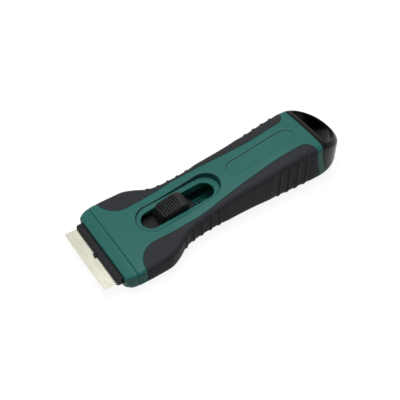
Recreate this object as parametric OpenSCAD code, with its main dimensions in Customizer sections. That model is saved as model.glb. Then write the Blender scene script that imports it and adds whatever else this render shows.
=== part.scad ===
/* [Handle] */
// Length of the handle from the nose lip to the hanging end
body_l = 137.7; // [134:0.1:144]
// Width of each cheek beside the blade, at the front of the handle
cheek_w = 5.2; // [4.8:0.1:6]
// Width of the neck beside the slot
neck_w = 32; // [31.4:0.2:34]
// Width at the rear of the handle
tail_w = 34; // [32:0.2:36]
// Height of the top at the nose lip
lip_h = 10.9; // [10.6:0.1:11.6]
// Height of the top just behind the mouth
front_h = 12.4; // [12.2:0.1:13]
// Height at the rear of the handle
tail_h = 25.8; // [24.8:0.2:27]
// Wall of the two shells
wall = 2; // [1.8:0.1:2.2]
// Height of the parting line of the two shells
split_z = 6; // [5.6:0.1:6.4]

/* [Nose] */
// Length of the collar from the lip to its seam
collar_l = 5.8; // [5:0.1:7]
// Chamfer on both sides of the collar seam
seam_cut = 0.45; // [0.2:0.05:0.6]
// Height of the opening of the mouth
mouth_h = 4.45; // [4.4:0.05:4.6]
// Height of the sill under the mouth
mouth_z = 4.5; // [4.3:0.05:4.6]

/* [Slot] */
// Distance from the nose lip to the middle of the slot
slot_mid = 42.6; // [42:0.1:43.2]
// Length of the slot
slot_l = 40.4; // [40:0.2:41.6]
// Width of the slot
slot_w = 10.9; // [10.7:0.1:11.5]
// Width of the sunk ledge round the slot
ledge_w = 2.7; // [2.2:0.1:3]
// Height of the ledge at its front end
ledge_z = 12.2; // [11.9:0.1:12.4]
// Slope of the ledge in degrees
ledge_tilt = 4.4; // [4:0.1:4.8]

/* [Label recess] */
// Length of the bare label recess
label_l = 40; // [34:0.5:42]
// Width of the label recess
label_w = 9; // [7:0.2:10]
// Depth of the label recess
label_d = 0.5; // [0.3:0.05:0.8]

/* [Grips] */
// Thickness of the soft grips
grip_t = 1.6; // [1.4:0.1:1.8]
// Half width of the green strip between the grips beside the slot
strip_y = 13; // [12.8:0.1:13.4]
// Half width of the green strip beside the label
label_strip_y = 9.4; // [9:0.1:10]
// Depth of the grip grooves
groove_d = 0.7; // [0.4:0.05:0.9]
// Width of each grip groove
groove_w = 1.6; // [1.2:0.1:2]
// Spacing of the grooves at the neck
neck_pitch = 5.3; // [5:0.1:5.6]
// Spacing of the grooves at the rear
tail_pitch = 5.35; // [5:0.05:5.6]
// Grooves at the neck
neck_grooves = 5; // [4:1:6]
// Grooves at the rear
tail_grooves = 4; // [3:1:5]

/* [End cap] */
// Length of the end cap outside the shells
cap_l = 18.7; // [18:0.1:20]
// Width of the rim round the hanging hole
rim_t = 3; // [2.6:0.1:3.4]
// Solid bar between the shells and the hanging hole
bar_t = 3.4; // [3:0.1:4]
// Length of the tongue clamped between the shells
tongue_l = 8.5; // [8:0.1:9.5]

/* [Blade] */
// Width of the blade
blade_w = 39; // [38:0.2:44]
// Depth of the blade from its edge to its back
blade_d = 18.5; // [18:0.1:19]
// Thickness of the blade
blade_t = 0.3; // [0.25:0.05:0.4]
// Length of the ground bevel at the cutting edge
bevel_l = 1.2; // [0.8:0.1:1.6]
// How far the cutting edge stands out of the jaw
blade_out = 6.4; // [6:0.1:7]
// Size of the two notches in the back of the blade
notch_w = 2.4; // [2:0.1:3]

/* [Carrier] */
// How far the jaw stands out of the mouth
jaw_out = 3.6; // [3:0.1:4]
// How far the carrier head and the jaw reach past each end of the blade
jaw_margin = 0.3; // [0.2:0.05:0.4]
// Thickness of the carrier head under the blade
head_t = 1.8; // [1.6:0.1:1.9]
// Thickness of the jaw over the blade
jaw_t = 1.9; // [1.7:0.05:1.95]
// Width of the tail of the carrier
tail_bar_w = 13.2; // [13:0.1:13.4]
// Top of the tail of the carrier
tail_top = 8.1; // [7.9:0.05:8.3]
// Gap between the slide and its rails
run_gap = 0.1; // [0.05:0.01:0.15]
// Diameter of the jaw pin
pin_d = 1.2; // [1:0.05:1.3]

/* [Thumb button] */
// Distance from the nose lip to the front of the button
button_x = 31.5; // [31.3:0.1:31.8]
// Length of the button
button_l = 15.5; // [15:0.1:16]
// Top of the button
button_top = 18.2; // [17:0.1:19]
// Travel of the button when it is pressed
press = 1; // [0.8:0.05:1.1]
// Ridges across the button
ridges = 8; // [6:1:10]
// Spacing of the ridges
ridge_pitch = 1.25; // [1:0.05:1.3]
// Depth of the grooves between the ridges
ridge_d = 0.5; // [0.3:0.05:0.6]
// Gap between the button and the slot on each side
slot_gap = 0.85; // [0.6:0.05:1]

/* [Springs] */
// Outer diameter of the button spring
spring_d = 4; // [3.6:0.1:4.2]
// Wire of the button spring
wire_d = 0.5; // [0.4:0.05:0.6]
// Turns of the button spring
spring_turns = 4; // [3:0.5:6]
// Width of the detent strip
detent_w = 4; // [3:0.1:5]
// Thickness of the detent strip
detent_t = 0.4; // [0.3:0.05:0.5]

/* [Screws] */
// Thread diameter of the case screws
screw_d = 2.6; // [2.4:0.1:2.8]
// Diameter of the screw heads
screw_head_d = 4.8; // [4.6:0.1:5]
// Distance of the front screws from the centre line
front_screw_y = 10.3; // [10.2:0.05:10.4]

/* [Hidden] */
$fn = 48;

// Overlap that keeps cuts clean, and the fit between pieces clamped together
eps = 0.1;
fit = 0.05;
// Side gap between the moving slide and the shells
side_gap = 0.35;

// Stations along the handle are measured from the nose lip
head_w = blade_w + 2 * cheek_w;
jaw_w = blade_w + 2 * jaw_margin;
cap_x = body_l - cap_l;
slot_x0 = slot_mid - slot_l / 2;
slot_x1 = slot_mid + slot_l / 2;
slide_shift = jaw_out + blade_out;
overall_l = body_l + slide_shift;

// Travel of the slide: forward to change the blade, back to cover its edge. The rounded corners
// of the button stay clear of the round ends of the slot, so it stops short of each end
button_r = 4;
front_stop_gap = 3.6;
rear_stop_gap = 2.2;
travel_out = button_x - slot_x0 - front_stop_gap;
travel_back = slot_x1 - button_x - button_l - rear_stop_gap;

// Line of slope at a point of a list of [station, value] pairs, and the curve through it
function slope(t, i) = let(a = max(i - 1, 0), b = min(i + 1, len(t) - 1))
    (t[b][1] - t[a][1]) / (t[b][0] - t[a][0]);
function curve(t, x, i = 0) = i < len(t) - 2 && x > t[i + 1][0] ? curve(t, x, i + 1)
    : let(a = t[i], b = t[i + 1], h = b[0] - a[0], s = min(max((x - a[0]) / h, 0), 1))
        a[1] * (1 + 2 * s) * (1 - s) * (1 - s) + slope(t, i) * h * s * (1 - s) * (1 - s)
        + b[1] * s * s * (3 - 2 * s) + slope(t, i + 1) * h * s * s * (s - 1);

// Half width of the handle, height of its top, and its edge rounding, station by station
width_t = [
    [0, head_w / 2 - 2.4], [3, head_w / 2 - 0.8], [8, head_w / 2], [20, head_w / 2 - 0.2],
    [26, head_w / 2 - 0.9], [38, neck_w / 2 + 2.1], [47, neck_w / 2 + 0.6],
    [60, neck_w / 2 - 0.1], [78, neck_w / 2 - 0.3], [cap_x - 24, tail_w / 2 - 0.6],
    [cap_x - 10, tail_w / 2], [cap_x, tail_w / 2 - 0.1]
];
top_t = [
    [0, lip_h], [collar_l, front_h], [20, front_h + 0.9], [35, front_h + 1.8],
    [50, front_h + 4.1], [65, front_h + 6.8], [85, tail_h - 3.8], [cap_x - 14, tail_h - 0.7],
    [cap_x, tail_h], [cap_x + 7, tail_h - 2], [cap_x + 14, tail_h - 5.2], [body_l, tail_h - 7.6]
];
shoulder_w_t = [[0, 2], [10, 3], [58, 3.5], [cap_x - 11, 4]];
shoulder_d_t = [[0, 1.2], [10, 2], [58, 2.5], [cap_x - 11, 3.2]];
foot_r_t = [[0, 5], [6, 5.5], [58, 5.3], [cap_x - 11, 6.4]];

// The hanging end closes in plan as a superellipse, and rounds over in its last few millimetres
end_power = 2.25;
end_round = 3.5;
function end_share(x) = min(max((x - cap_x) / cap_l, 0), 1);
function end_drop(x) = let(s = min(max((x - body_l + end_round) / end_round, 0), 1))
    end_round * (1 - sqrt(1 - s * s));
function closing(x, share) = pow(max(1 - pow(share, end_power), 0), 1 / end_power);
function half_w(x) = x <= cap_x ? curve(width_t, x) : width_t[11][1] * closing(x, end_share(x));
function top_z(x) = curve(top_t, x) - end_drop(x);

// The underside lies flat at the front and rear, and arches a little under the neck
arch_x = 58;
arch_l = 36;
arch_h = 1.3;
function foot_z(x) = arch_h * max(1 - pow((x - arch_x) / arch_l, 2), 0)
    + 2 * pow(end_share(x), 2) + end_drop(x) + max(1 - x / 2.5, 0);

// Sloping ledge round the slot
function ledge_at(x) = ledge_z + (x - slot_x0) * tan(ledge_tilt);
rim_under = 1.5;

// Right half of a cross section, from the bottom centre to the top centre
crown = 0.4;
function half_section(x, inset) = let(
        w = max(half_w(x) - inset, 1.5), zt = top_z(x) - inset, zb = foot_z(x) + inset,
        sw = min(curve(shoulder_w_t, x), w * 0.9), sd = curve(shoulder_d_t, x),
        r = min(max(curve(foot_r_t, x) - inset, 1), w * 0.9))
    concat([[0, zb]],
        [for (a = [0:22.5:90]) [w - r + r * sin(a), zb + r - r * cos(a)]],
        [for (a = [0:22.5:90]) [w - sw + sw * cos(a), zt - crown - sd + sd * sin(a)]],
        [[(w - sw) / 2, zt - crown / 4], [0, zt]]);
// Whole ring from its right half
function full_ring(h) = concat(h, [for (i = [len(h) - 2:-1:1]) [-h[i][0], h[i][1]]]);

// Closed solid through rings of equal length, one at each station
module loft(stations, rings) {
    n = len(rings[0]);
    m = len(stations);
    points = [for (i = [0:m - 1]) for (p = rings[i]) [stations[i], p[0], p[1]]];
    sides = [for (i = [0:m - 2]) for (j = [0:n - 1]) let(k = (j + 1) % n)
        each [[i * n + j, (i + 1) * n + k, i * n + k],
            [i * n + j, (i + 1) * n + j, (i + 1) * n + k]]];
    ends = [[for (j = [0:n - 1]) j], [for (j = [n - 1:-1:0]) (m - 1) * n + j]];
    polyhedron(points, concat(sides, ends), convexity = 6);
}
// Loft of the handle through a list of [station, inset] pairs
module body(list) {
    loft([for (p = list) p[0]], [for (p = list) full_ring(half_section(p[0], p[1]))]);
}
// Main stations: the front ones stay put, the rear ones follow the length
neck_x = 60;
main_x = concat([10, 14, 18, 22, 26, 29, 32, 35, 38, 42, 47, 53],
    [for (s = [0, 0.13, 0.27, 0.42, 0.57, 0.7, 0.82, 0.91, 1]) neck_x + s * (cap_x - neck_x)]);
function at_inset(inset) = [for (x = main_x) [x, inset]];
shell_list = concat([[collar_l + fit / 2, seam_cut], [collar_l + seam_cut, 0]], at_inset(0));

// Plan outline of a grip: elliptical front, edge along the green strip, rounded rear
grip_x0 = 10.3;
grip_x1 = cap_x - 3.5;
grip_front_l = 11;
grip_rear_l = 6;
grip_rear_w = 7;
grip_far_y = 30;
front_y = strip_y - 0.4;
rear_y = label_strip_y + 0.1;
strip_t = [
    [grip_x0 + grip_front_l, front_y], [38, strip_y], [48, strip_y + 0.2],
    [60, strip_y - 0.9], [cap_x - 29, label_strip_y], [grip_x1 - grip_rear_l, rear_y]
];
grip_outline = concat(
    [for (a = [0:15:90]) [grip_x0 + grip_front_l * (1 - cos(a)),
        head_w / 2 - (head_w / 2 - front_y) * sin(a)]],
    [for (s = [0.06:0.1:1]) let(x = grip_x0 + grip_front_l
        + s * (grip_x1 - grip_rear_l - grip_x0 - grip_front_l)) [x, curve(strip_t, x)]],
    [for (a = [0:18:90]) [grip_x1 - grip_rear_l + grip_rear_l * sin(a),
        rear_y + grip_rear_w * (1 - cos(a))]],
    [[grip_x1, grip_far_y], [grip_x0, grip_far_y]]);

// Head of the slide and the runway cut for it in the shells
head_z = mouth_z + run_gap;
blade_z = head_z + head_t;
jaw_z = blade_z + blade_t;
blade_back = blade_d - slide_shift;
hinge_x = blade_back + 2.5;
head_x1 = hinge_x + 1.4;
head_x2 = head_x1 + 4.1;
head_rear_y = 12;
tail_x0 = head_x1 + 1.6;
tail_x1 = button_x + button_l + 5;
notch_x = tail_x1 + 3;
channel_x1 = notch_x + travel_back + 4;
module runway() {
    g = side_gap;
    h = jaw_w / 2 + g;
    t = tail_bar_w / 2 + g;
    x1 = head_x1 + travel_back + g;
    x2 = head_x2 + travel_back + g;
    right = [[-1, h], [x1, h], [x2, head_rear_y + g], [x2, t], [channel_x1, t]];
    translate([0, 0, mouth_z]) linear_extrude(mouth_h)
        polygon(concat(right, [for (i = [len(right) - 1:-1:0]) [right[i][0], -right[i][1]]]));
}

// Hollow of the handle: one wall, and the extra thickness under the grips
hollow_r = 2.4;
function hollow_half(x, inset = 0) = let(
        w = half_w(x) - grip_t - wall - inset, in_slot = x > slot_x0 - 4 && x < slot_x1 + 5,
        zt = (in_slot ? ledge_at(x) - rim_under : top_z(x) - wall - crown / 2) - inset,
        zs = min(zt - 0.2, top_z(x) - wall - grip_t - crown - inset),
        zb = foot_z(x) + wall + inset, zc = zb + grip_t, r = min(hollow_r, (zs - zc) / 2 - 0.3),
        b = min(curve(strip_t, x), w - r + 0.8))
    [[0, zb], [b - 2, zb], [b - 1, zc], [w - r, zc], [w, zc + r],
        [w, zs - r], [w - r, zs - crown / 2], [b - 1, zs], [b - 2, zt], [0, zt]];
spigot_x = [collar_l - 1, 10];
hollow_x = concat(spigot_x, [18, slot_x0 - 3.9, 24, 29, 33, 37, 42, 50, neck_x, slot_x1 + 4.9,
    slot_x1 + 7], [for (s = [0.1:0.18:1]) channel_x1 + s * (cap_x - channel_x1)], [cap_x + 1]);
module hollow() {
    loft(hollow_x, [for (x = hollow_x) full_ring(hollow_half(x))]);
}

// Case screws: two at the front, one behind the slot, one through the tongue of the cap
screw_seat = 3.4;
screw_l = 7.5;
head_h = 1.8;
head_gap = 0.3;
recess_l = 2.6;
recess_w = 0.6;
tip_l = 1;
boss_r = 2.4;
socket_r = screw_head_d / 2 + head_gap + 0.8;
front_screw_x = 37;
middle_screw_x = 80;
rear_screw_x = cap_x - 5.5;
screw_places = [
    [front_screw_x, front_screw_y], [front_screw_x, -front_screw_y],
    [middle_screw_x, 0], [rear_screw_x, 0]
];

// Moves a piece drawn from the nose lip to the frame of the whole tool
module place() {
    translate([slide_shift - overall_l / 2, 0, 0]) children();
}
// Extrudes an outline drawn in length and height, centred across the handle
module across(width, mid = 0) {
    translate([0, mid, 0]) rotate([90, 0, 0]) linear_extrude(width, center = true) children();
}
module grip_zone(side) {
    translate([0, 0, -1]) linear_extrude(2 * tail_h) polygon([for (p = grip_outline) [p[0], side * p[1]]]);
}
module grip_pockets() {
    difference() {
        for (side = [-1, 1]) grip_zone(side);
        body(concat([[collar_l, grip_t]], at_inset(grip_t)));
    }
}
// Upright stadium through the top, its middle at a station, tilted about that point
module stadium(mid, length, width, z, tilt, height) {
    translate([mid, 0, z]) rotate([0, -tilt, 0]) linear_extrude(height) {
        square([length - width, width], center = true);
        for (side = [-1, 1]) translate([side * (length - width) / 2, 0]) circle(d = width);
    }
}

// Ribs beside the slot hold down the flange of the button; bosses take the screws
flange_t = 0.8;
flange_gap = 0.35;
flange_z = tail_top + press + 2 * fit;
slot_rib_z = flange_z + flange_t + flange_gap;
slot_rib_w = 1.6;
slot_rib_more = 3;
slot_rib_sink = 0.7;
module shell_ribs_top() {
    x0 = slot_x0 - slot_rib_more;
    x1 = slot_x1 + slot_rib_more;
    for (side = [-1, 1])
        across(slot_rib_w, side * (slot_w + slot_rib_w) / 2)
            polygon([[x0, slot_rib_z], [x1, slot_rib_z],
                [x1, ledge_at(x1) - slot_rib_sink], [x0, ledge_at(x0) - slot_rib_sink]]);
    for (p = screw_places)
        translate([p[0], p[1], split_z]) cylinder(r = boss_r, h = top_z(p[0]) - wall - split_z);
}
ledge_mid = slot_mid + 0.4;
label_mid = cap_x - 27;
label_z0 = top_z(label_mid - label_l / 2);
label_z1 = top_z(label_mid + label_l / 2);
tall = tail_h + 4;
module top_shell() color("#2f6a63") place() difference() {
    union() {
        difference() {
            intersection() {
                body(shell_list);
                translate([0, -head_w, split_z]) cube([cap_x, 2 * head_w, tall]);
            }
            hollow();
        }
        shell_ribs_top();
    }
    runway();
    grip_pockets();
    stadium(slot_mid, slot_l, slot_w, mouth_z + mouth_h, 0, tall);
    stadium(ledge_mid, slot_l + 2 * ledge_w, slot_w + 2 * ledge_w, ledge_at(ledge_mid), ledge_tilt, tall);
    stadium(label_mid, label_l, label_w, (label_z0 + label_z1) / 2 - label_d,
        atan((label_z1 - label_z0) / label_l), wall);
    for (p = screw_places)
        translate([p[0], p[1], split_z - eps])
            cylinder(d = screw_d, h = screw_seat + screw_l - split_z + 0.5);
}

// Rails under the head and the tail of the slide, the notched rack of the detent, screw sockets
rail_w = 1.2;
rail_y = 5;
outer_rail_y = jaw_w / 2 - 3.8;
rail_x0 = 9.6;
outer_rail_x1 = head_x1 + travel_back - 0.3;
rib_foot = wall - 0.4;
rack_w = 4.8;
rack_over = 2;
notch_size = 1.1;
module shell_ribs_bottom() {
    for (side = [-1, 1]) for (rail = [[rail_y, channel_x1 - eps], [outer_rail_y, outer_rail_x1]])
        translate([rail_x0, side * rail[0] - rail_w / 2, rib_foot])
            cube([rail[1] - rail_x0, rail_w, mouth_z - rib_foot + 0.6]);
    difference() {
        translate([notch_x - travel_out - rack_over, -rack_w / 2, rib_foot])
            cube([travel_out + travel_back + rack_over + 0.5, rack_w, mouth_z - rib_foot + 0.6]);
        for (dx = [-travel_out, 0, travel_back])
            translate([notch_x + dx, 0, mouth_z]) rotate([0, 45, 0])
                cube([notch_size, rack_w + 1, notch_size], center = true);
    }
    for (p = screw_places)
        translate([p[0], p[1], rib_foot]) cylinder(r = socket_r, h = split_z - rib_foot);
}
module bottom_shell() color("#2a5f59") place() difference() {
    union() {
        difference() {
            intersection() {
                body(shell_list);
                translate([0, -head_w, -1]) cube([cap_x, 2 * head_w, split_z + 1]);
            }
            hollow();
        }
        shell_ribs_bottom();
    }
    runway();
    grip_pockets();
    for (p = screw_places) translate([p[0], p[1], -1]) {
        cylinder(d = screw_head_d + 2 * head_gap, h = screw_seat + 1);
        cylinder(d = screw_d + head_gap, h = tall);
    }
}
// Collar with a chamfered lip, and a spigot that fits the hollow of the shells
spigot_end = spigot_x[1] - 0.7;
module nose_collar() color("#2b5a57") place() difference() {
    union() {
        intersection() {
            body([[0, 0.5], [0.5, 0], [2, 0], [4, 0], [collar_l - seam_cut, 0], [collar_l, seam_cut]]);
            translate([-1, -head_w, -1]) cube([collar_l - fit / 2 + 1, 2 * head_w, tall]);
        }
        intersection() {
            loft(spigot_x, [for (x = spigot_x) full_ring(hollow_half(x, fit))]);
            translate([0, -head_w, 0]) cube([spigot_end, 2 * head_w, tall]);
        }
    }
    translate([-1, -jaw_w / 2 - side_gap, mouth_z])
        cube([spigot_end + 2, jaw_w + 2 * side_gap, mouth_h]);
}

// Grooves are upright flutes in the side wall of a grip
neck_groove_x = slot_mid - 6.7;
tail_groove_x = cap_x - 25.5;
flute_x = concat([for (i = [0:neck_grooves - 1]) neck_groove_x + i * neck_pitch],
    [for (i = [0:tail_grooves - 1]) tail_groove_x + i * tail_pitch]);
module grip(side) {
    difference() {
        intersection() {
            body(at_inset(0));
            grip_zone(side);
        }
        body(at_inset(grip_t));
        for (x = flute_x) translate([x, side * (half_w(x) + groove_w / 2 - groove_d), -1])
            cylinder(d = groove_w, h = tall);
    }
}
module left_grip() color("#2b2e31") place() grip(1);
module right_grip() color("#2b2e31") place() grip(-1);

// Hard end with the D-shaped hanging hole and the tongue between the shells
tongue_w = 14;
tongue_z = wall + fit;
hole_corner = 1.6;
cap_gap = 0.15;
module hanging_hole() {
    l = cap_l - rim_t;
    w = tail_w / 2 - rim_t;
    right = [for (a = [0:7.5:90]) let(s = sin(a)) [cap_x + l * s, w * closing(0, s)]];
    edge = [for (p = right) if (p[0] > cap_x + bar_t) p];
    start_w = w * closing(0, bar_t / l);
    outline = concat([[cap_x + bar_t, start_w]], edge);
    translate([0, 0, -1]) linear_extrude(tall)
        offset(r = hole_corner, $fn = 24) offset(delta = -hole_corner)
            polygon(concat(outline, [for (i = [len(outline) - 1:-1:0]) [outline[i][0], -outline[i][1]]]));
}
module end_cap() color("#131517") place() difference() {
    union() {
        body([for (a = [0:9:90]) [cap_x + fit / 2 + (cap_l - fit / 2) * sin(a), 0]]);
        translate([cap_x - tongue_l, -tongue_w / 2, tongue_z])
            cube([tongue_l + 1, tongue_w, top_z(cap_x - tongue_l) - wall - crown / 2 - fit - tongue_z]);
    }
    hanging_hole();
    translate([rear_screw_x, 0, -1]) {
        cylinder(r = socket_r + cap_gap, h = split_z + 1 + eps);
        cylinder(r = boss_r + cap_gap, h = tall);
    }
}

// Slide: wide head under the blade, tail bar with the pocket of the button, and the ears and
// block of the hinge. Two pins stand in the notches of the blade
hinge_z = jaw_z + 0.85;
knuckle_r = 1.1;
hinge_gap = 0.2;
ear_top = 8.5;
ear_w = 1.8;
ear_l = 2.4;
block_y = 8;
block_l = 5;
arm_y = blade_w / 3 + 0.1;
pocket_gap = 0.1;
pocket_z = 5.6;
stud_l = 1.9;
head_corner = 1;
module blade_carrier() color("#26282b") place() difference() {
    union() {
        translate([0, 0, head_z]) linear_extrude(head_t) polygon([
            [-jaw_out, head_corner - jaw_w / 2], [head_corner - jaw_out, -jaw_w / 2],
            [head_x1, -jaw_w / 2], [head_x2, -head_rear_y], [head_x2, head_rear_y],
            [head_x1, jaw_w / 2], [head_corner - jaw_out, jaw_w / 2],
            [-jaw_out, jaw_w / 2 - head_corner]]);
        translate([tail_x0, -tail_bar_w / 2, head_z])
            cube([tail_x1 - tail_x0, tail_bar_w, tail_top - head_z]);
        translate([hinge_x - knuckle_r - 0.3, -block_y, head_z])
            cube([block_l, 2 * block_y, ear_top - head_z]);
        for (side = [-1, 1]) {
            translate([hinge_x - ear_l / 2, side * (arm_y + hinge_gap + ear_w / 2) - ear_w / 2, head_z])
                cube([ear_l, ear_w, ear_top - head_z]);
            translate([blade_back - 2, side * blade_w / 4 - notch_w / 2 + fit, head_z])
                cube([stud_l, notch_w - 2 * fit, head_t + blade_t - fit]);
        }
    }
    translate([button_x - pocket_gap, -button_w / 2 - pocket_gap, pocket_z])
        cube([button_l + 2 * pocket_gap, button_w + 2 * pocket_gap, tall]);
    translate([hinge_x, 0, hinge_z]) rotate([90, 0, 0])
        cylinder(d = pin_d, h = jaw_w, center = true);
    translate([tail_x1 - detent_sink, -detent_w / 2 - fit, detent_z])
        cube([detent_sink + eps, detent_w + 2 * fit, detent_t]);
}
// Jaw over the blade: chamfered front edge, a nub at its middle, and two arms to the pin
jaw_back = blade_back + 0.7;
jaw_corner = 1;
jaw_lip = 0.8;
nub_w = 2;
nub_out = 1;
module blade_jaw() color("#26262a") place() difference() {
    union() {
        intersection() {
            translate([0, 0, jaw_z]) linear_extrude(jaw_t)
                offset(r = jaw_corner, $fn = 24) offset(delta = -jaw_corner)
                    translate([-jaw_out, -jaw_w / 2]) square([jaw_out + jaw_back, jaw_w]);
            across(jaw_w + 2) polygon([[-jaw_out, jaw_z - 1], [-jaw_out, jaw_z + jaw_t - jaw_lip],
                [jaw_lip - jaw_out, jaw_z + jaw_t], [jaw_back + 1, jaw_z + jaw_t],
                [jaw_back + 1, jaw_z - 1]]);
        }
        translate([-jaw_out - nub_out, -nub_w / 2, jaw_z]) cube([nub_out + 1, nub_w, 1]);
        for (side = [-1, 1]) translate([0, side * (block_y + hinge_gap + arm_y) / 2, 0]) {
            w = arm_y - block_y - hinge_gap;
            translate([hinge_x, 0, hinge_z]) rotate([90, 0, 0])
                cylinder(r = knuckle_r, h = w, center = true);
            translate([blade_back, -w / 2, jaw_z]) cube([hinge_x - blade_back, w, jaw_t - eps]);
        }
    }
    translate([hinge_x, 0, hinge_z]) rotate([90, 0, 0])
        cylinder(d = pin_d + 2 * fit, h = jaw_w, center = true);
}
module jaw_pin() color("#b9bcc0") place()
    translate([hinge_x, 0, hinge_z]) rotate([90, 0, 0])
        cylinder(d = pin_d, h = 2 * (arm_y + hinge_gap + ear_w), center = true);

// Single-edge blade with a ground bevel and two notches in its back
module scraper_blade() color("#dcddcb") place() translate([-slide_shift, 0, blade_z]) difference() {
    across(blade_w) polygon([[0, 0], [blade_d, 0], [blade_d, blade_t], [bevel_l, blade_t], [0, fit]]);
    for (side = [-1, 1])
        translate([blade_d - 2, side * blade_w / 4 - notch_w / 2, -1]) cube([3, notch_w, 3]);
}

// Ridged button on a flange that keeps it under the slot
ridge_x0 = 0.4;
button_crown_r = 16;
bore_top = 10.4;
button_rise_t = [[0, -2.5], [4, -1.2], [8, -0.4], [button_l - 4, 0], [button_l - 1.5, -0.5],
    [button_l - 0.4, -1.4], [button_l, -2.4]];
function button_z(x) = button_top + curve(button_rise_t, x);
module button_side() {
    n = ridges;
    p = ridge_pitch;
    polygon(concat([[0, flange_z], [0, button_z(0)]],
        [for (i = [0:n - 1]) let(x = ridge_x0 + i * p) each [
            [x, button_z(x) - ridge_d], [x + 0.25 * p, button_z(x + 0.25 * p)],
            [x + 0.75 * p, button_z(x + 0.75 * p)], [x + 0.95 * p, button_z(x + 0.95 * p) - ridge_d]]],
        [for (s = [0.15:0.17:1]) let(x0 = ridge_x0 + n * p, x = x0 + s * (button_l - x0))
            [x, button_z(x)]],
        [[button_l, button_z(button_l)], [button_l, flange_z]]));
}
button_w = slot_w - 2 * slot_gap;
module button_plan() {
    square([button_l - 2 * button_r, button_w], center = true);
    square([button_l, button_w - 2 * button_r], center = true);
    for (sx = [-1, 1]) for (sy = [-1, 1])
        translate([sx * (button_l / 2 - button_r), sy * (button_w / 2 - button_r)]) circle(button_r);
}
module thumb_button() color("#2a2c2a") place() translate([button_x, 0, 0]) difference() {
    union() {
        intersection() {
            across(button_w) button_side();
            translate([-1, 0, button_top - button_crown_r]) rotate([0, 90, 0])
                cylinder(r = button_crown_r, h = button_l + 2);
            translate([button_l / 2, 0, 0]) linear_extrude(tall) button_plan();
        }
        translate([0, -tail_bar_w / 2, flange_z]) cube([button_l, tail_bar_w, flange_t]);
        translate([0, -button_w / 2, pocket_z + press + 2 * pocket_gap])
            cube([button_l, button_w, flange_z - pocket_z - press]);
    }
    translate([button_l / 2, 0, 0]) cylinder(d = spring_d + 4 * pocket_gap, h = bore_top);
}
// Coil on the axis of the button, from the floor of the pocket to the top of the bore
module button_spring() color("#c4c7cc") place() translate([button_x + button_l / 2, 0, 0]) {
    steps = 12;
    sides = 6;
    z0 = pocket_z + wire_d / 2 + fit;
    z1 = bore_top - wire_d / 2 - fit;
    m = steps * spring_turns + 1;
    r = (spring_d - wire_d) / 2;
    points = [for (i = [0:m - 1]) let(a = 360 * i / steps, z = z0 + (z1 - z0) * i / (m - 1))
        for (j = [0:sides - 1]) let(b = 360 * j / sides, q = r + wire_d / 2 * cos(b))
            [q * cos(a), q * sin(a), z + wire_d / 2 * sin(b)]];
    walls = [for (i = [0:m - 2]) for (j = [0:sides - 1]) let(k = (j + 1) % sides)
        each [[i * sides + j, (i + 1) * sides + k, i * sides + k],
            [i * sides + j, (i + 1) * sides + j, (i + 1) * sides + k]]];
    ends = [[for (j = [0:sides - 1]) j], [for (j = [sides - 1:-1:0]) (m - 1) * sides + j]];
    polyhedron(points, concat(walls, ends), convexity = 8);
}
// Bent strip whose point clicks into the notches of the lower shell
detent_sink = 3.5;
detent_z = 6;
module detent_spring() color("#c4c7cc") place() {
    low = [[tail_x1 - detent_sink + eps, detent_z], [tail_x1, detent_z], [notch_x - 1.6, 5.2],
        [notch_x, mouth_z - 0.45], [notch_x + 1.6, 5.2], [notch_x + 2.4, 5.4]];
    across(detent_w) polygon(concat(low, [for (i = [len(low) - 1:-1:0]) low[i] + [0, detent_t]]));
}
// Pan-head self-tapping screw with a cross recess, driven from below
module case_screw(i) color("#8d9094") place()
        translate([screw_places[i][0], screw_places[i][1], screw_seat]) {
    difference() {
        translate([0, 0, -head_h]) cylinder(d1 = screw_head_d - 1, d2 = screw_head_d, h = head_h);
        for (a = [0, 90]) rotate(a) translate([0, 0, -head_h])
            cube([recess_l, recess_w, head_h], center = true);
    }
    cylinder(d = screw_d, h = screw_l - tip_l);
    translate([0, 0, screw_l - tip_l]) cylinder(d1 = screw_d, d2 = 1, h = tip_l);
}

top_shell();
bottom_shell();
nose_collar();
left_grip();
right_grip();
end_cap();
blade_carrier();
blade_jaw();
jaw_pin();
scraper_blade();
thumb_button();
button_spring();
detent_spring();
case_screw(0);  // front_left_screw
case_screw(1);  // front_right_screw
case_screw(2);  // middle_screw
case_screw(3);  // rear_screw
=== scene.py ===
import bpy
import math
import numpy as np
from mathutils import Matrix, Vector


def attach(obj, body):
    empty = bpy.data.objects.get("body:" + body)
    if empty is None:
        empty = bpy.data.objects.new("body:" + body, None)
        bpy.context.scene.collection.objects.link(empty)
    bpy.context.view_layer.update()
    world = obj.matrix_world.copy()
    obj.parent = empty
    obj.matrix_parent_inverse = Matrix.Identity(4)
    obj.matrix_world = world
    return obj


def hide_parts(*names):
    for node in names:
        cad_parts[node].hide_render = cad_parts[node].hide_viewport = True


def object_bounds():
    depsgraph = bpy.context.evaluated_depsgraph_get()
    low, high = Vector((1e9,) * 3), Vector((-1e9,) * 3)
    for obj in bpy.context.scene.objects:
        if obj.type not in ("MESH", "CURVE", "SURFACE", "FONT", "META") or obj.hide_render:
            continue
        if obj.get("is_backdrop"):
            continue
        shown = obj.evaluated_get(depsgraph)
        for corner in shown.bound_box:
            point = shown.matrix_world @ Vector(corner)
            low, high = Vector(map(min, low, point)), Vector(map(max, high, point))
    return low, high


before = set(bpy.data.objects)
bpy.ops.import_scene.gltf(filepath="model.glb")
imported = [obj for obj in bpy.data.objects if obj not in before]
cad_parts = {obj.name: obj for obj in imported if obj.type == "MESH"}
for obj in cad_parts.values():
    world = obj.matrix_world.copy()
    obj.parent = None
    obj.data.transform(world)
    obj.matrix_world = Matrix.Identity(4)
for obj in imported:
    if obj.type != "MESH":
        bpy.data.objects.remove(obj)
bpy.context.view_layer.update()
print("frame loaded")

mm = 0.001
lipX = -63.85  # place of the nose lip in the frame; every x below is measured from it, in mm

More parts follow.
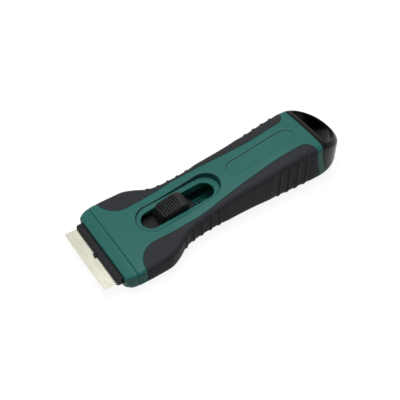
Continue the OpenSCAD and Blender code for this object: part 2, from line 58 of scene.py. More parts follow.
# Camera at the photographed angle
camera = {"azimuth": -33.82, "elevation": 48.15, "distance": 0.3873, "lens": 70.3, "sensor": 36,
          "target": (-0.00872, -0.00067, 0.010), "clip": (0.01, 20)}
turn, lift = math.radians(camera["azimuth"]), math.radians(camera["elevation"])
backward = Vector((math.sin(turn) * math.cos(lift), -math.cos(turn) * math.cos(lift), math.sin(lift)))
cameraData = bpy.data.cameras.new("camera")
cameraData.lens, cameraData.sensor_width = camera["lens"], camera["sensor"]
cameraData.clip_start, cameraData.clip_end = camera["clip"]
cameraObject = bpy.data.objects.new("camera", cameraData)
cameraObject.location = Vector(camera["target"]) + backward * camera["distance"]
cameraObject.rotation_euler = backward.to_track_quat("Z", "Y").to_euler()
bpy.context.scene.collection.objects.link(cameraObject)
bpy.context.scene.camera = cameraObject
bpy.context.scene.view_settings.view_transform = "Standard"
print("camera placed")


def linearColour(hexText):
    parts = [int(hexText[i:i + 2], 16) / 255 for i in (1, 3, 5)]
    return [c / 12.92 if c <= 0.04045 else ((c + 0.055) / 1.055) ** 2.4 for c in parts] + [1.0]


def addNode(tree, kind, settings=None, links=None):
    node = tree.nodes.new("ShaderNode" + kind)
    for key, value in (settings or {}).items():
        if isinstance(key, int) or key in node.inputs:
            node.inputs[key].default_value = value
        else:
            setattr(node, key, value)
    for key, socket in (links or {}).items():
        tree.links.new(socket, node.inputs[key])
    return node


def newMaterial(name):
    material = bpy.data.materials.new(name)
    material.use_nodes = True
    material.node_tree.nodes.clear()
    return material, material.node_tree


# Strength, 0 to 1, of a thin stroke of painted shade round a long recess with round ends, seen from
# above, where shade falls in the corner at its rim. It shows on the top alone, above lowZ, and only
# where y is past side
def gapLine(tree, place, line):
    lowZ, fadeZ, fadeY = 9, 1, 3
    split = addNode(tree, "SeparateXYZ", None, {0: place})
    fromMiddle = addNode(tree, "Math", {"operation": "SUBTRACT", 1: (line["middle"] + lipX) * mm},
                         {0: split.outputs["X"]})
    distance = addNode(tree, "Math", {"operation": "ABSOLUTE"}, {0: fromMiddle.outputs[0]})
    beyond = addNode(tree, "Math", {"operation": "SUBTRACT", 1: line["straight"] / 2 * mm},
                     {0: distance.outputs[0]})
    ahead = addNode(tree, "Math", {"operation": "MAXIMUM", 1: 0.0}, {0: beyond.outputs[0]})
    flat = addNode(tree, "CombineXYZ", None, {"X": ahead.outputs[0], "Y": split.outputs["Y"]})
    away = addNode(tree, "VectorMath", {"operation": "LENGTH"}, {0: flat.outputs[0]})
    toEdge = addNode(tree, "Math", {"operation": "SUBTRACT", 1: line["radius"] * mm},
                     {0: away.outputs["Value"]})
    near = addNode(tree, "Math", {"operation": "ABSOLUTE"}, {0: toEdge.outputs[0]})
    drawn = addNode(tree, "MapRange", {"From Min": line["width"] * 0.25 * mm,
                                       "From Max": line["width"] * 0.6 * mm,
                                       "To Min": line["strength"], "To Max": 0.0},
                    {"Value": near.outputs[0]})
    onTop = addNode(tree, "MapRange", {"From Min": lowZ * mm, "From Max": (lowZ + fadeZ) * mm},
                    {"Value": split.outputs["Z"]})
    side = addNode(tree, "MapRange", {"From Min": line["side"] * mm,
                                      "From Max": (line["side"] + fadeY) * mm},
                   {"Value": split.outputs["Y"]})
    shown = addNode(tree, "Math", {"operation": "MULTIPLY"}, {0: drawn.outputs[0], 1: onTop.outputs[0]})
    whole = addNode(tree, "Math", {"operation": "MULTIPLY"}, {0: shown.outputs[0], 1: side.outputs[0]})
    return whole.outputs[0]


# Moulded plastics: a base colour with a faint cloud, spark-eroded grain and uneven gloss
def mouldedPlastic(name, look):
    material, tree = newMaterial(name)
    place = addNode(tree, "TexCoord").outputs["Object"]
    cloud = addNode(tree, "TexNoise", {"Scale": 1 / (look["cloud"] * mm), "Detail": 3.0},
                    {"Vector": place})
    grain = addNode(tree, "TexNoise", {"Scale": 1 / (look["grain"] * mm), "Detail": 2.0},
                    {"Vector": place})
    tint = addNode(tree, "Mix", {"data_type": "RGBA", 6: linearColour(look["dark"]),
                                 7: linearColour(look["light"])}, {0: cloud.outputs["Fac"]})
    # Each stroke of painted shade darkens the colour where shade falls at the rim of a recess
    for line in look.get("lines", []):
        tint = addNode(tree, "Mix", {"data_type": "RGBA", 7: linearColour(look["gap"])},
                       {0: gapLine(tree, place, line), 6: tint.outputs[2]})
    gloss = addNode(tree, "MapRange", {"From Min": 0.3, "From Max": 0.7, "To Min": look["rough"][0],
                                       "To Max": look["rough"][1]}, {"Value": cloud.outputs["Fac"]})
    bump = addNode(tree, "Bump", {"Strength": look["bump"], "Distance": look["depth"] * mm},
                   {"Height": grain.outputs["Fac"]})
    shader = addNode(tree, "BsdfPrincipled", {"IOR": look["ior"], "Specular IOR Level": look["shine"]},
                     {"Base Color": tint.outputs[2], "Roughness": gloss.outputs["Result"],
                      "Normal": bump.outputs["Normal"]})
    addNode(tree, "OutputMaterial", None, {"Surface": shader.outputs["BSDF"]})
    return material


# Bright metals: the marks of grinding or drawing run one way, so they are noise stretched along it
def brightMetal(name, look):
    material, tree = newMaterial(name)
    place = addNode(tree, "TexCoord").outputs["Object"]
    stretched = addNode(tree, "Mapping", {"Scale": [1 / (s * mm) for s in look["marks"]]},
                        {"Vector": place})
    marks = addNode(tree, "TexNoise", {"Scale": 1.0, "Detail": 2.0},
                    {"Vector": stretched.outputs["Vector"]})
    stain = addNode(tree, "TexNoise", {"Scale": 1 / (look["cloud"] * mm), "Detail": 3.0},
                    {"Vector": place})
    tint = addNode(tree, "Mix", {"data_type": "RGBA", 6: linearColour(look["dark"]),
                                 7: linearColour(look["light"])}, {0: stain.outputs["Fac"]})
    gloss = addNode(tree, "MapRange", {"From Min": 0.3, "From Max": 0.7, "To Min": look["rough"][0],
                                       "To Max": look["rough"][1]}, {"Value": marks.outputs["Fac"]})
    bump = addNode(tree, "Bump", {"Strength": look["bump"], "Distance": look["depth"] * mm},
                   {"Height": marks.outputs["Fac"]})
    shader = addNode(tree, "BsdfPrincipled", {"Metallic": 1.0},
                     {"Base Color": tint.outputs[2], "Roughness": gloss.outputs["Result"],
                      "Normal": bump.outputs["Normal"]})
    addNode(tree, "OutputMaterial", None, {"Surface": shader.outputs["BSDF"]})
    return material


# ABS moulded in a finely spark-eroded tool: satin, deep teal green. The real grain is about 0.1 mm
# and is drawn at 0.35 mm so that it shows. Thin strokes of painted shade run round the ledge of the slot
# and along the far side of the long shallow recess near the rear, where shade falls in the corners at
# their rims
greenAbs = mouldedPlastic("green_abs_satin_moulded", {
    "dark": "#1a5d56", "light": "#20635b", "cloud": 9.0, "grain": 0.35, "rough": (0.4, 0.5),
    "bump": 0.16, "depth": 0.02, "ior": 1.54, "shine": 0.2, "gap": "#062a26", "lines": [
        {"middle": 43, "straight": 29.5, "radius": 8.35, "width": 0.55, "strength": 0.9, "side": -20},
        {"middle": 92, "straight": 31, "radius": 4.55, "width": 0.5, "strength": 0.9, "side": -1}]})
# Thermoplastic elastomer moulded over the shells: nearly black, matte, with hardly any shine
softElastomer = mouldedPlastic("soft_elastomer_overmoulded", {
    "dark": "#2a2c2f", "light": "#323437", "cloud": 7.0, "grain": 0.45, "rough": (0.46, 0.56),
    "bump": 0.2, "depth": 0.02, "ior": 1.5, "shine": 0.08})
# ABS from a polished tool: black, with sharp reflections and a faint ripple
blackGlossAbs = mouldedPlastic("black_abs_polished_moulded", {
    "dark": "#070809", "light": "#0b0c0e", "cloud": 12.0, "grain": 2.4, "rough": (0.14, 0.22),
    "bump": 0.05, "depth": 0.02, "ior": 1.54, "shine": 0.08})
# Nylon of the button: dark warm grey, satin
buttonNylon = mouldedPlastic("button_nylon_satin_moulded", {
    "dark": "#161716", "light": "#1f2120", "cloud": 3.0, "grain": 0.3, "rough": (0.4, 0.5),
    "bump": 0.15, "depth": 0.012, "ior": 1.53, "shine": 0.15})
# Nylon of the carrier and jaw: black, satin
carrierNylon = mouldedPlastic("carrier_nylon_satin_moulded", {
    "dark": "#121316", "light": "#1a1b1e", "cloud": 4.0, "grain": 0.35, "rough": (0.36, 0.46),
    "bump": 0.15, "depth": 0.012, "ior": 1.53, "shine": 0.15})
# Hardened strip steel, ground across its width: pale, soft reflections
bladeSteel = brightMetal("blade_steel_ground", {
    "dark": "#c3c1b1", "light": "#d2d0c2", "cloud": 8.0, "marks": (0.25, 12.0, 0.25),
    "rough": (0.18, 0.28), "bump": 0.1, "depth": 0.01})
# Spring steel, blued: smooth, nearly black blue
springSteel = brightMetal("spring_steel_blued", {
    "dark": "#24272e", "light": "#31353d", "cloud": 2.0, "marks": (0.4, 0.4, 0.1),
    "rough": (0.2, 0.32), "bump": 0.08, "depth": 0.005})
# Zinc plate on the screws: slightly blue, uneven
zincPlate = brightMetal("screw_steel_zinc_plated", {
    "dark": "#8d9196", "light": "#a5a9ac", "cloud": 1.5, "marks": (0.5, 0.5, 0.5),
    "rough": (0.25, 0.4), "bump": 0.1, "depth": 0.006})
print("materials made")

# Driving sizes of the handle in mm, the same as in the part's source. Tables give a size at each x
handle = {"length": 137.7, "headWidth": 49.4, "neckWidth": 32, "tailWidth": 34, "lipHeight": 10.9,
          "frontHeight": 12.4, "tailHeight": 25.8, "highest": 25.83, "wall": 2, "split": 6,
          "crown": 0.4, "collar": 5.8, "seam": 0.45, "cap": 18.7, "clear": 0.03}
capX = handle["length"] - handle["cap"]
head, neck, tail = handle["headWidth"] / 2, handle["neckWidth"] / 2, handle["tailWidth"] / 2
front, high = handle["frontHeight"], handle["tailHeight"]
widthTable = [(0, head - 2.4), (3, head - 0.8), (8, head), (20, head - 0.2), (26, head - 0.9),
              (38, neck + 2.1), (47, neck + 0.6), (60, neck - 0.1), (78, neck - 0.3),
              (capX - 24, tail - 0.6), (capX - 10, tail), (capX, tail - 0.1)]
topTable = [(0, handle["lipHeight"]), (5.8, front), (20, front + 0.9), (35, front + 1.8),
            (50, front + 4.1), (65, front + 6.8), (85, high - 3.8), (capX - 14, high - 0.7),
            (capX, high), (capX + 7, high - 2), (capX + 14, high - 5.2), (137.7, high - 7.6)]
shoulderWidth = [(0, 2), (10, 3), (58, 3.5), (capX - 11, 4)]
shoulderDepth = [(0, 1.2), (10, 2), (58, 2.5), (capX - 11, 3.2)]
footRadius = [(0, 5), (6, 5.5), (58, 5.3), (capX - 11, 6.4)]
# The underside arches at the neck, and lifts at the cap and at the lip
foot = {"arch": 1.3, "archMiddle": 58, "archHalf": 36, "tailLift": 2, "lipLift": 1, "lipLength": 2.5}
# Ribs are given as first x, spacing and number
grip = {"thick": 1.6, "front": 10.3, "rear": capX - 3.5, "frontLength": 11, "frontWidth": 12.1,
        "rearLength": 6, "rearWidth": 7, "edge": 0.28, "hollow": 0.5, "ribHalf": 0.05, "flank": 0.1,
        "neckRibs": (35.9, 5.3, 5), "tailRibs": (capX - 25.5, 5.35, 4)}
stripTable = [(grip["front"] + 11, 12.6), (38, 13), (48, 13.2), (60, 12.1), (capX - 29, 9.4),
              (grip["rear"] - 6, 9.5)]
# How far the cap's seam leans back at the floor, and the share of it that the grips' rear edge takes
lean = {"back": 6.5, "height": 21, "bend": 1.3, "fromY": 8, "overY": 6, "gripShare": 0.8,
        "gripFromX": 90, "gripOverX": 20}
slot = {"middle": 42.6, "length": 40.4, "width": 10.9, "ledge": 2.7, "ledgeZ": 12.2,
        "tilt": math.tan(math.radians(4.4)), "under": 1.5, "lowest": 9, "ledgeShift": 0.4}
slotStart = slot["middle"] - slot["length"] / 2


# Smooth curve through a table of (x, size)
def curve(table, x):
    at = np.array([p[0] for p in table], float)
    to = np.array([p[1] for p in table], float)
    after = np.minimum(np.arange(len(at)) + 1, len(at) - 1)
    before = np.maximum(np.arange(len(at)) - 1, 0)
    slope = (to[after] - to[before]) / (at[after] - at[before])
    i = np.clip(np.searchsorted(at, x) - 1, 0, len(at) - 2)
    h = at[i + 1] - at[i]
    s = np.clip((x - at[i]) / h, 0, 1)
    return (to[i] * (1 + 2 * s) * (1 - s) ** 2 + slope[i] * h * s * (1 - s) ** 2
            + to[i + 1] * s * s * (3 - 2 * s) + slope[i + 1] * h * s * s * (s - 1))


# Each shape is a field: below zero inside, above zero outside, and about a distance near its skin.
# rounded meets two fields in an outer edge with a moulded radius, less takes one from another
def rounded(a, b, ra, rb=None):
    rb = ra if rb is None else rb
    p, q = (a + ra) / ra, (b + rb) / rb
    reach = np.hypot(p, q)
    edge = (reach - 1) * reach / np.maximum(np.hypot(p / ra, q / rb), 1e-6)
    return np.where((p > 0) & (q > 0), edge, np.maximum(a, b))


def less(a, b, r):
    return rounded(a, -b, r)


def superellipse(x, y, startX, length, halfWidth, power=2.25):
    s, t = np.maximum(x - startX, 0) / length, np.abs(y) / halfWidth
    g = np.maximum((s ** power + t ** power) ** (1 / power), 1e-3)
    steep = g ** (1 - power) * np.hypot(s ** (power - 1) / length, t ** (power - 1) / halfWidth)
    return (g - 1) / np.maximum(steep, 1e-3)


def stadium(x, y, middle, length, width):
    return np.hypot(np.maximum(np.abs(x - middle) - (length - width) / 2, 0), y) - width / 2


def box(x, y, z, low, high):
    acrossX, acrossY, acrossZ = [np.maximum(low[i] - at, at - high[i]) for i, at in enumerate((x, y, z))]
    return np.maximum(np.maximum(acrossX, acrossY), acrossZ)


def smooth(share):
    return share * share * (3 - 2 * share)


def sideOf(x, y):
    width = np.minimum(curve(widthTable, x), head)
    steep = (curve(widthTable, x + 0.1) - curve(widthTable, x - 0.1)) / 0.2
    along = (np.abs(y) - width) / np.sqrt(1 + steep ** 2)
    return np.where(x < capX, along, superellipse(x, y, capX, handle["cap"], widthTable[-1][1]))


def topOf(x):
    return np.minimum(curve(topTable, x), handle["highest"])


def footOf(x):
    arch = foot["arch"] * np.maximum(1 - ((x - foot["archMiddle"]) / foot["archHalf"]) ** 2, 0)
    atCap = foot["tailLift"] * np.clip((x - capX) / handle["cap"], 0, 1) ** 2
    return arch + atCap + foot["lipLift"] * np.maximum(1 - x / foot["lipLength"], 0)


def bodyField(x, y, z, inset=0.0, hollow=0.0):
    side = sideOf(x, y) + inset + hollow
    wide, deep = curve(shoulderWidth, x), curve(shoulderDepth, x)
    flat = np.maximum(curve(widthTable, x) - wide, 1)
    roof = z - (topOf(x) - inset - handle["crown"] * np.minimum((y / flat) ** 2, 1))
    radius = curve(footRadius, x) - inset
    return np.maximum(rounded(side, roof, wide, deep), rounded(side, footOf(x) + inset - z, radius))


def stripOf(x):
    return curve(stripTable, x)


# The cap's seam and the rear edge of the grips lean back down the side walls
def leanOf(y, z):
    low = np.clip(1 - z / lean["height"], 0, 1) ** lean["bend"]
    return lean["back"] * low * np.clip((np.abs(y) - lean["fromY"]) / lean["overY"], 0, 1)


def gripZone(x, y, z):
    x = x - lean["gripShare"] * leanOf(y, z) * np.clip((x - lean["gripFromX"]) / lean["gripOverX"], 0, 1)
    steep = (stripOf(x + 0.1) - stripOf(x - 0.1)) / 0.2
    inner = (stripOf(x) - np.abs(y)) / np.sqrt(1 + steep ** 2)
    return np.maximum(rounded(inner, grip["front"] - x, grip["frontWidth"], grip["frontLength"]),
                      rounded(inner, x - grip["rear"], grip["rearWidth"], grip["rearLength"]))


def ledgeOf(x):
    return slot["ledgeZ"] + (x - slotStart) * slot["tilt"]


# Meshes a field: one point in each cell that the skin crosses, moved onto the skin in a few steps
meshing = {"below": 1.5, "above": 2.5, "steps": 4, "probe": 0.04, "farthest": 0.6}  # in cells


def skin(name, field, low, high, cell, material, body, replaced, mirrored=False):
    axes = [np.arange(low[i] - meshing["below"] * cell, high[i] + meshing["above"] * cell, cell,
                      dtype=np.float32) for i in range(3)]
    value = field(axes[0][:, None, None], axes[1][None, :, None], axes[2][None, None, :])
    value = np.broadcast_to(value, [len(a) for a in axes]).astype(np.float32)
    inside = value < 0
    corners = [(i, j, k) for i in (0, 1) for j in (0, 1) for k in (0, 1)]
    shape = [n - 1 for n in value.shape]
    count = sum(inside[i:i + shape[0], j:j + shape[1], k:k + shape[2]].astype(np.int8)
                for i, j, k in corners)
    cells = np.argwhere((count > 0) & (count < 8))
    held = np.stack([value[cells[:, 0] + i, cells[:, 1] + j, cells[:, 2] + k]
                     for i, j, k in corners], 1)
    total, crossings = np.zeros((len(cells), 3)), np.zeros(len(cells))
    for a in range(8):
        for b in range(a + 1, 8):
            if sum(abs(p - q) for p, q in zip(corners[a], corners[b])) == 1:
                crossed = (held[:, a] < 0) != (held[:, b] < 0)
                share = np.where(crossed, held[:, a] / np.where(crossed, held[:, a] - held[:, b], 1), 0)
                edge = np.array(corners[b]) - np.array(corners[a])
                total += (np.array(corners[a]) + share[:, None] * edge) * crossed[:, None]
                crossings += crossed
    points = np.array([a[0] for a in axes]) + (cells + total / crossings[:, None]) * cell
    start, h, farthest = points.copy(), meshing["probe"] * cell, meshing["farthest"] * cell
    for _ in range(meshing["steps"]):
        here = field(*points.T)
        slope = np.stack([field(*(points + h * step).T) - field(*(points - h * step).T)
                          for step in np.eye(3)], 1) / (2 * h)
        points = points - here[:, None] * slope / np.maximum((slope ** 2).sum(1), 0.05)[:, None]
        points = start + np.clip(points - start, -farthest, farthest)
    number = np.full(shape, -1, np.int32)
    number[tuple(cells.T)] = np.arange(len(cells))
    faces = []
    for axis in range(3):
        nextAxis, lastAxis = (axis + 1) % 3, (axis + 2) % 3
        before = [slice(0, n - 1) if i == axis else slice(1, n - 1) for i, n in enumerate(value.shape)]
        after = [slice(1, n) if i == axis else slice(1, n - 1) for i, n in enumerate(value.shape)]
        first, second = inside[tuple(before)], inside[tuple(after)]
        for outward in (True, False):
            found = np.argwhere(first & ~second if outward else ~first & second)
            found[:, nextAxis] += 1
            found[:, lastAxis] += 1
            quad = []
            for stepNext, stepLast in ((-1, -1), (0, -1), (0, 0), (-1, 0)):
                at = found.copy()
                at[:, nextAxis] += stepNext
                at[:, lastAxis] += stepLast
                quad.append(number[tuple(at.T)])
            faces.append(np.stack(quad if outward else quad[::-1], 1))
    faces = np.concatenate(faces)
    if mirrored:
        points, faces = points * [1, -1, 1], faces[:, ::-1]
    mesh = bpy.data.meshes.new(name)
    mesh.from_pydata(((points + [lipX, 0, 0]) * mm).tolist(), [], faces.tolist())
    mesh.shade_smooth()
    mesh.materials.append(material)
    piece = bpy.data.objects.new(name, mesh)
    bpy.context.scene.collection.objects.link(piece)
    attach(piece, body)
    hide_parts(replaced)
    print(name, len(faces), "faces")


# Room inside the two shells: the hollow behind the cheeks, the one under the green strip, whose wall
# is thinner beside the slot, and the runway that the slide runs in behind the mouth
cavity = {"front": 4.8, "roofRadius": 2.4, "footRadius": 1.5, "stripWall": 1.5, "step": 0.2}
runway = {"start": 4, "end": 27.2, "half": 20.15, "low": 4.5, "high": 8.95}


def hollowField(x, y, z):
    outer = sideOf(x, y) + grip["thick"] + handle["wall"]
    inSlot = (x > slotStart - 4) & (x < slotStart + slot["length"] + 5)
    top = np.where(inSlot, ledgeOf(x) - slot["under"], topOf(x) - handle["wall"] - cavity["step"])
    low = np.minimum(top - cavity["step"], topOf(x) - handle["wall"] - grip["thick"] - handle["crown"])
    base = footOf(x) + handle["wall"] - z
    cheek = rounded(rounded(outer, z - low, cavity["roofRadius"]), base + grip["thick"],
                    cavity["footRadius"])
    strip = np.maximum(np.maximum(np.abs(y) - stripOf(x) + cavity["stripWall"], z - top), base)
    way = box(x, np.abs(y), z, (runway["start"], -1, runway["low"]),
              (runway["end"], runway["half"], runway["high"]))
    return np.minimum(np.minimum(np.maximum(cheek, cavity["front"] - x),
                                 np.maximum(strip, cavity["front"] - x)), way)


def shellOutside(x, y, z):
    outside = rounded(bodyField(x, y, z), handle["collar"] + handle["clear"] - x, handle["seam"])
    outside = rounded(outside, x - capX - leanOf(y, z), 0.25)
    pocket = np.maximum(gripZone(x, y, z), -bodyField(x, y, z, grip["thick"]))
    return less(outside, pocket, grip["edge"])


# Upper shell, with two ribs under the slot that the button's flange runs between, and the long
# shallow recess near the rear
slotRibs = {"inner": 5.45, "outer": 7.05, "before": 3, "length": 43.4, "under": 0.7, "low": 10.35}
recess = {"middle": capX - 27, "length": 40, "width": 9, "depth": 0.5}
topEdges = {"split": 0.2, "ledgeFoot": 0.5, "ledge": 0.45, "slot": 0.35, "recessFoot": 0.2,
            "recess": 0.3}


def topShellField(x, y, z):
    shell = rounded(shellOutside(x, y, z), handle["split"] - z, topEdges["split"])
    shell = np.maximum(shell, -hollowField(x, y, z))
    ribs = box(x, np.abs(y), z - ledgeOf(x), (slotStart - slotRibs["before"], slotRibs["inner"], -9),
               (slotStart + slotRibs["length"], slotRibs["outer"], -slotRibs["under"]))
    shell = np.minimum(shell, np.maximum(ribs, slotRibs["low"] - z))
    opening = stadium(x, y, slot["middle"], slot["length"], slot["width"])
    around = stadium(x, y, slot["middle"] + slot["ledgeShift"], slot["length"] + 2 * slot["ledge"],
                     slot["width"] + 2 * slot["ledge"])
    shell = less(shell, rounded(around, ledgeOf(x) - z, topEdges["ledgeFoot"]), topEdges["ledge"])
    shell = less(shell, np.maximum(opening, slot["lowest"] - z), topEdges["slot"])
    plate = stadium(x, y, recess["middle"], recess["length"], recess["width"])
    sunk = topOf(x) - recess["depth"] - z
    return less(shell, rounded(plate, sunk, topEdges["recessFoot"]), topEdges["recess"])


# Lower shell, with the rails that carry the slide as (y, end x), a keel between them, and a boss
# round each screw; the front pair of screws is mirrored
rails = {"at": ((5, 73), (16, 26.6)), "start": 9.6, "half": 0.6, "low": 1.6, "high": 4.5}
keel = {"start": 45, "end": 72, "half": 2.4}
boss = {"at": ((37, 10.3), (80, 0), (capX - 5.5, 0)), "radius": 3.5, "high": 6,
        "headRadius": 2.7, "headHigh": 4, "headEdge": 0.35, "bore": 1.45}


def bottomShellField(x, y, z):
    shell = rounded(shellOutside(x, y, z), z - handle["split"], topEdges["split"])
    shell = np.maximum(shell, -hollowField(x, y, z))
    for railY, railEnd in rails["at"]:
        rail = box(x, np.abs(y), z, (rails["start"], railY - rails["half"], rails["low"]),
                   (railEnd, railY + rails["half"], rails["high"]))
        shell = np.minimum(shell, rail)
    shell = np.minimum(shell, box(x, y, z, (keel["start"], -keel["half"], rails["low"]),
                                  (keel["end"], keel["half"], rails["high"])))
    for screwX, screwY in boss["at"]:
        away = np.hypot(x - screwX, np.abs(y) - screwY)
        post = np.maximum(away - boss["radius"], np.maximum(rails["low"] - z, z - boss["high"]))
        shell = np.minimum(shell, post)
        well = np.maximum(away - boss["headRadius"], z - boss["headHigh"])
        shell = less(shell, well, boss["headEdge"])
        shell = np.maximum(shell, boss["bore"] - away)
    return np.maximum(shell, -box(x, np.abs(y), z, (runway["start"], -1, runway["low"]),
                                  (runway["end"], runway["half"], 9)))


def collarField(x, y, z):
    collar = rounded(bodyField(x, y, z), -x, 0.6)
    collar = rounded(collar, x - handle["collar"] + handle["clear"], handle["seam"])
    mouth = box(x, y, z, (-5, -runway["half"], runway["low"]), (15, runway["half"], runway["high"]))
    return less(collar, mouth, 0.3)


# Narrow ribs stand where the wall between them is hollowed; the hollow fades beyond the outer ribs
def hollowAt(x):
    deep = 0.0
    for start, pitch, count in (grip["neckRibs"], grip["tailRibs"]):
        along = (x - start) / pitch
        rib = np.abs(along - np.clip(np.round(along), 0, count - 1))
        flank = np.clip((rib - grip["ribHalf"]) / grip["flank"], 0, 1)
        fade = np.clip(1.1 - np.maximum(-along, along - count + 1), 0, 1)
        deep = deep + grip["hollow"] * smooth(flank) * smooth(fade)
    return deep


def gripField(x, y, z):
    pad = rounded(bodyField(x, y, z, 0, hollowAt(x)), gripZone(x, y, z), grip["edge"])
    pad = np.maximum(pad, -bodyField(x, y, z, grip["thick"]))
    return np.maximum(pad, -y)


# End cap, with a round-fronted hole to hang it by
hangingHole = {"wall": 3, "half": 14, "web": 3.4, "corner": 1.6, "edge": 1.1}


def capField(x, y, z):
    cap = rounded(bodyField(x, y, z), capX + handle["clear"] + leanOf(y, z) - x, 0.3)
    hole = superellipse(x, y, capX, handle["cap"] - hangingHole["wall"], hangingHole["half"])
    hole = rounded(hole, capX + hangingHole["web"] - x, hangingHole["corner"])
    return less(cap, hole, hangingHole["edge"])


# Thumb button: a crowned knob with cross grooves, on a flange, bored from below for its spring
button = {"start": 31.5, "length": 15.5, "low": 6.8, "top": 18.2, "half": 5.0, "corner": 2.6,
          "edge": 0.45, "crown": 32, "ridges": 8, "firstRidge": 0.4, "pitch": 1.25, "groove": 0.75,
          "grooveHalf": 0.2, "grooveFlank": 0.26, "flangeHalf": 6.6, "flangeLow": 9.2,
          "flangeHigh": 10, "boreRadius": 2.2, "boreHigh": 10.4}
riseTable = [(0, -2.5), (4, -1.2), (8, -0.4), (11.5, 0), (14, -0.5), (15.1, -1.4), (15.5, -2.4)]


def buttonField(x, y, z):
    along = x - button["start"]
    half, r = button["length"] / 2, button["corner"]
    dx, dy = np.abs(along - half) - half + r, np.abs(y) - button["half"] + r
    plan = np.hypot(np.maximum(dx, 0), np.maximum(dy, 0)) + np.minimum(np.maximum(dx, dy), 0) - r
    phase = (along - button["firstRidge"]) / button["pitch"]
    dip = np.clip((np.abs(phase % 1 - 0.5) - button["grooveHalf"]) / button["grooveFlank"], 0, 1)
    dip = np.where((phase > 0) & (phase < button["ridges"] + 0.1), smooth(dip), 0)
    rise = curve(riseTable, along) - button["groove"] * dip
    roof = z - (button["top"] + rise - y * y / button["crown"])
    knob = np.maximum(rounded(plan, roof, button["edge"]), button["low"] - z)
    flange = box(along, y, z, (0, -button["flangeHalf"], button["flangeLow"]),
                 (button["length"], button["flangeHalf"], button["flangeHigh"]))
    bore = np.maximum(np.hypot(along - half, y) - button["boreRadius"], z - button["boreHigh"])
    return np.maximum(np.minimum(knob, flange), -bore)


skin("top_shell_moulding", topShellField, (5.8, -25, 6), (capX + 6.5, 25, 26), 0.4, greenAbs,
     "handle", "top_shell")
skin("bottom_shell_moulding", bottomShellField, (5.8, -25, 0), (capX + 6.5, 25, 6), 0.4, greenAbs,
     "handle", "bottom_shell")
skin("collar_moulding", collarField, (0, -25, 0), (5.8, 25, 12.6), 0.25, greenAbs,
     "handle", "nose_collar")
skin("left_grip_moulding", gripField, (10.3, 0, 0), (grip["rear"] + 5.3, 25, 26), 0.3, softElastomer,
     "handle", "left_grip")
skin("right_grip_moulding", gripField, (10.3, 0, 0), (grip["rear"] + 5.3, 25, 26), 0.3, softElastomer,
     "handle", "right_grip", mirrored=True)
skin("end_cap_moulding", capField, (capX, -17, 0), (handle["length"], 17, 26), 0.25, blackGlossAbs,
     "handle", "end_cap")
skin("thumb_button_moulding", buttonField, (31.5, -6.6, 6.8), (47, 6.6, 18.2), 0.13, buttonNylon,
     "button", "thumb_button")

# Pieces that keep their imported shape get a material, and an edge radius in mm where they have one
finishes = {"blade_carrier": (carrierNylon, 0.25), "blade_jaw": (carrierNylon, 0.25),
            "scraper_blade": (bladeSteel, 0), "jaw_pin": (springSteel, 0),
            "button_spring": (springSteel, 0), "detent_spring": (springSteel, 0),
            "front_left_screw": (zincPlate, 0.12), "front_right_screw": (zincPlate, 0.12),
            "middle_screw": (zincPlate, 0.12), "rear_screw": (zincPlate, 0.12)}
for name, (material, radius) in finishes.items():
    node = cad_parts[name]
    node.data.materials.clear()
    node.data.materials.append(material)
    if radius:
        weld = node.modifiers.new("weld", "WELD")
        weld.merge_threshold = 0.002 * mm
        bevel = node.modifiers.new("edges", "BEVEL")
        bevel.width, bevel.segments = radius * mm, 3
        bevel.limit_method, bevel.angle_limit = "ANGLE", math.radians(35)
print("packed pieces finished")

# Studio: a white table that keeps a faint shadow, a large soft lamp above and behind, and a fill
studio = {"floorSize": 6.0, "floorDrop": 0.0002, "floorColour": "#6c6c6c", "floorGlow": 0.9,
          "world": 0.22, "key": {"at": (0.0, 0.15, 1.2), "size": 0.8, "watts": 10.5},
          "fill": {"at": (-0.9, -0.2, 0.8), "size": 1.0, "watts": 1.5}}


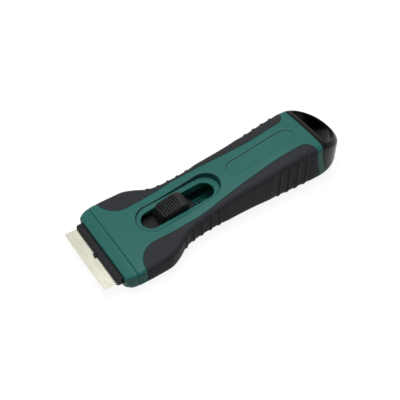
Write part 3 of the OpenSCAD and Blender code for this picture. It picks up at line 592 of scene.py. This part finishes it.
# 1 for the rays that meet a white background: those of the camera, and those off gloss or through glass
def whiteRays(tree):
    rays = addNode(tree, "LightPath")
    shiny = addNode(tree, "Math", {"operation": "MAXIMUM"}, {0: rays.outputs["Is Glossy Ray"],
                                                             1: rays.outputs["Is Transmission Ray"]})
    seen = addNode(tree, "Math", {"operation": "MAXIMUM"}, {0: rays.outputs["Is Camera Ray"],
                                                            1: shiny.outputs[0]})
    return seen.outputs[0]


floorMesh = bpy.data.meshes.new("floor")
half = studio["floorSize"] / 2
floorMesh.from_pydata([(-half, -half, 0), (half, -half, 0), (half, half, 0), (-half, half, 0)], [],
                      [(0, 1, 2, 3)])
floor = bpy.data.objects.new("floor", floorMesh)
bpy.context.scene.collection.objects.link(floor)
floor.location.z = -studio["floorDrop"]
paper, tree = newMaterial("white_card_uncoated")  # matte card, grey to the lamps and white to the eye
glow = addNode(tree, "Math", {"operation": "MULTIPLY", 1: studio["floorGlow"]}, {0: whiteRays(tree)})
card = addNode(tree, "BsdfDiffuse", {"Color": linearColour(studio["floorColour"])})
light = addNode(tree, "Emission", None, {"Strength": glow.outputs[0]})
both = addNode(tree, "AddShader", None, {0: card.outputs[0], 1: light.outputs[0]})
addNode(tree, "OutputMaterial", None, {"Surface": both.outputs[0]})
floorMesh.materials.append(paper)
floor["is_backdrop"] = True

world = bpy.data.worlds.new("studio")
world.use_nodes = True
tree = world.node_tree
tree.nodes.clear()
level = addNode(tree, "MapRange", {"To Min": studio["world"], "To Max": 1.0},
                {"Value": whiteRays(tree)})
sky = addNode(tree, "Background", {"Color": (1, 1, 1, 1)}, {"Strength": level.outputs["Result"]})
addNode(tree, "OutputWorld", None, {"Surface": sky.outputs[0]})
bpy.context.scene.world = world

for name in ("key", "fill"):
    lamp = studio[name]
    data = bpy.data.lights.new(name, "AREA")
    data.shape, data.size, data.energy = "DISK", lamp["size"], lamp["watts"]
    lampObject = bpy.data.objects.new(name, data)
    lampObject.location = lamp["at"]
    lampObject.rotation_euler = Vector(lamp["at"]).to_track_quat("Z", "Y").to_euler()
    bpy.context.scene.collection.objects.link(lampObject)
print("studio set")

low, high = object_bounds()
